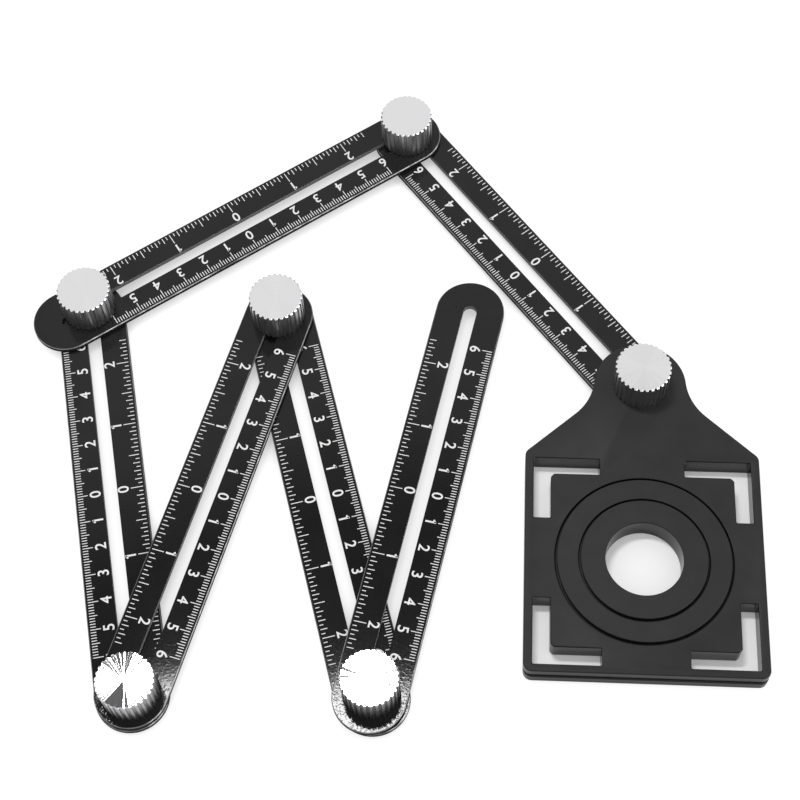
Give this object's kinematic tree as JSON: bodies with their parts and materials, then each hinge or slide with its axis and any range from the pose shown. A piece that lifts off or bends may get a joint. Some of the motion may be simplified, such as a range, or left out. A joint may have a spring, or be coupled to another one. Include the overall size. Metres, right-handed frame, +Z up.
{
  "type": "multi-angle folding ruler",
  "caption": "Folding template ruler: slotted scale arms in a zigzag chain, clamped by fluted knobs, ending in a locator plate with nested guide rings.",
  "frame": {"origin": "on the axis of the guide hole, in the plane that the ruler lies on", "axes": "+Z up out of the plate, +X along the plate's width, +Y from the guide hole towards the first pivot"},
  "size_m": [0.263, 0.2528, 0.0215],
  "materials": {
    "arm_metal": "black anodised, satin",
    "knob_metal": "turned and fluted, bare",
    "bolt_steel": "plain",
    "plate_plastic": "fine matte",
    "base_plastic": "fine matte",
    "ring_plastic": "fine matte"
  },
  "bodies": {
    "locator": {"locator_plate": "plate_plastic", "locator_base": "base_plastic"},
    "outer_ring": {"outer_ring": "ring_plastic"},
    "inner_ring": {"inner_ring": "ring_plastic"},
    "arm_1": {"arm_1": "arm_metal"},
    "arm_2": {"arm_2": "arm_metal"},
    "arm_3": {"arm_3": "arm_metal"},
    "arm_4": {"arm_4": "arm_metal"},
    "arm_5": {"arm_5": "arm_metal"},
    "arm_6": {"arm_6": "arm_metal"},
    "bolt_1": {"bolt_1": "bolt_steel"},
    "bolt_2": {"bolt_2": "bolt_steel"},
    "bolt_3": {"bolt_3": "bolt_steel"},
    "bolt_4": {"bolt_4": "bolt_steel"},
    "bolt_5": {"bolt_5": "bolt_steel"},
    "bolt_6": {"bolt_6": "bolt_steel"},
    "knob_1": {"knob_1": "knob_metal"},
    "knob_2": {"knob_2": "knob_metal"},
    "knob_3": {"knob_3": "knob_metal"},
    "knob_4": {"knob_4": "knob_metal"},
    "knob_5": {"knob_5": "knob_metal"},
    "knob_6": {"knob_6": "knob_metal"}
  },
  "joints": [
    {"name": "outer_ring_lift", "type": "slide", "parent": "locator", "child": "outer_ring", "axis": [0, 0, 1], "range_m": [0, 0.012]},
    {"name": "inner_ring_lift", "type": "slide", "parent": "outer_ring", "child": "inner_ring", "axis": [0, 0, 1], "range_m": [0, 0.012]},
    {"name": "arm_1_turn", "type": "hinge", "parent": "locator", "child": "bolt_1", "pos_m": [0, 0.0671, 0.0042], "axis": [0, 0, 1], "range_deg": [-130, 16]},
    {"name": "arm_1_slide", "type": "slide", "parent": "bolt_1", "child": "arm_1", "axis": [-0.63, 0.7766, 0], "range_m": [-0.0065, 0.009]},
    {"name": "bolt_2_slide", "type": "slide", "parent": "arm_1", "child": "bolt_2", "axis": [-0.63, 0.7766, 0], "range_m": [-0.022, 0.0004]},
    {"name": "arm_2_turn", "type": "hinge", "parent": "bolt_2", "child": "arm_2", "pos_m": [-0.08795, 0.17551, 0.0042], "axis": [0, 0, -1], "range_deg": [-7, 230]},
    {"name": "bolt_3_slide", "type": "slide", "parent": "arm_2", "child": "bolt_3", "axis": [0.8161, 0.5779, 0], "range_m": [-0.0085, 0.026]},
    {"name": "arm_3_turn", "type": "hinge", "parent": "bolt_3", "child": "arm_3", "pos_m": [-0.20229, 0.09456, 0.0042], "axis": [0, 0, 1], "range_deg": [-210, 13]},
    {"name": "bolt_4_slide", "type": "slide", "parent": "arm_3", "child": "bolt_4", "axis": [0.2207, -0.9753, 0], "range_m": [-0.016, 0]},
    {"name": "arm_4_turn", "type": "hinge", "parent": "bolt_4", "child": "arm_4", "pos_m": [-0.16918, -0.05175, 0.0042], "axis": [0, 0, -1], "range_deg": [-7, 7]},
    {"name": "bolt_5_slide", "type": "slide", "parent": "arm_4", "child": "bolt_5", "axis": [-0.2495, -0.9684, 0], "range_m": [0, 0.088]},
    {"name": "arm_5_turn", "type": "hinge", "parent": "bolt_5", "child": "arm_5", "pos_m": [-0.13178, 0.09341, 0.0042], "axis": [0, 0, 1], "range_deg": [-18, 13]},
    {"name": "bolt_6_slide", "type": "slide", "parent": "arm_5", "child": "bolt_6", "axis": [-0.2823, 0.9593, 0], "range_m": [-0.0018, 0.054]},
    {"name": "arm_6_turn", "type": "hinge", "parent": "bolt_6", "child": "arm_6", "pos_m": [-0.09011, -0.04818, 0.0042], "axis": [0, 0, -1], "range_deg": [-16, 9]},
    {"name": "knob_1_turn", "type": "hinge", "parent": "bolt_1", "child": "knob_1", "pos_m": [0, 0.0671, 0.0042], "axis": [0, 0, 1], "continuous": true},
    {"name": "knob_2_turn", "type": "hinge", "parent": "bolt_2", "child": "knob_2", "pos_m": [-0.08795, 0.17551, 0.0042], "axis": [0, 0, 1], "continuous": true},
    {"name": "knob_3_turn", "type": "hinge", "parent": "bolt_3", "child": "knob_3", "pos_m": [-0.20229, 0.09456, 0.0042], "axis": [0, 0, 1], "continuous": true},
    {"name": "knob_4_turn", "type": "hinge", "parent": "bolt_4", "child": "knob_4", "pos_m": [-0.16918, -0.05175, 0.0042], "axis": [0, 0, 1], "continuous": true},
    {"name": "knob_5_turn", "type": "hinge", "parent": "bolt_5", "child": "knob_5", "pos_m": [-0.13178, 0.09341, 0.0042], "axis": [0, 0, 1], "continuous": true},
    {"name": "knob_6_turn", "type": "hinge", "parent": "bolt_6", "child": "knob_6", "pos_m": [-0.09011, -0.04818, 0.0042], "axis": [0, 0, 1], "continuous": true}
  ]
}
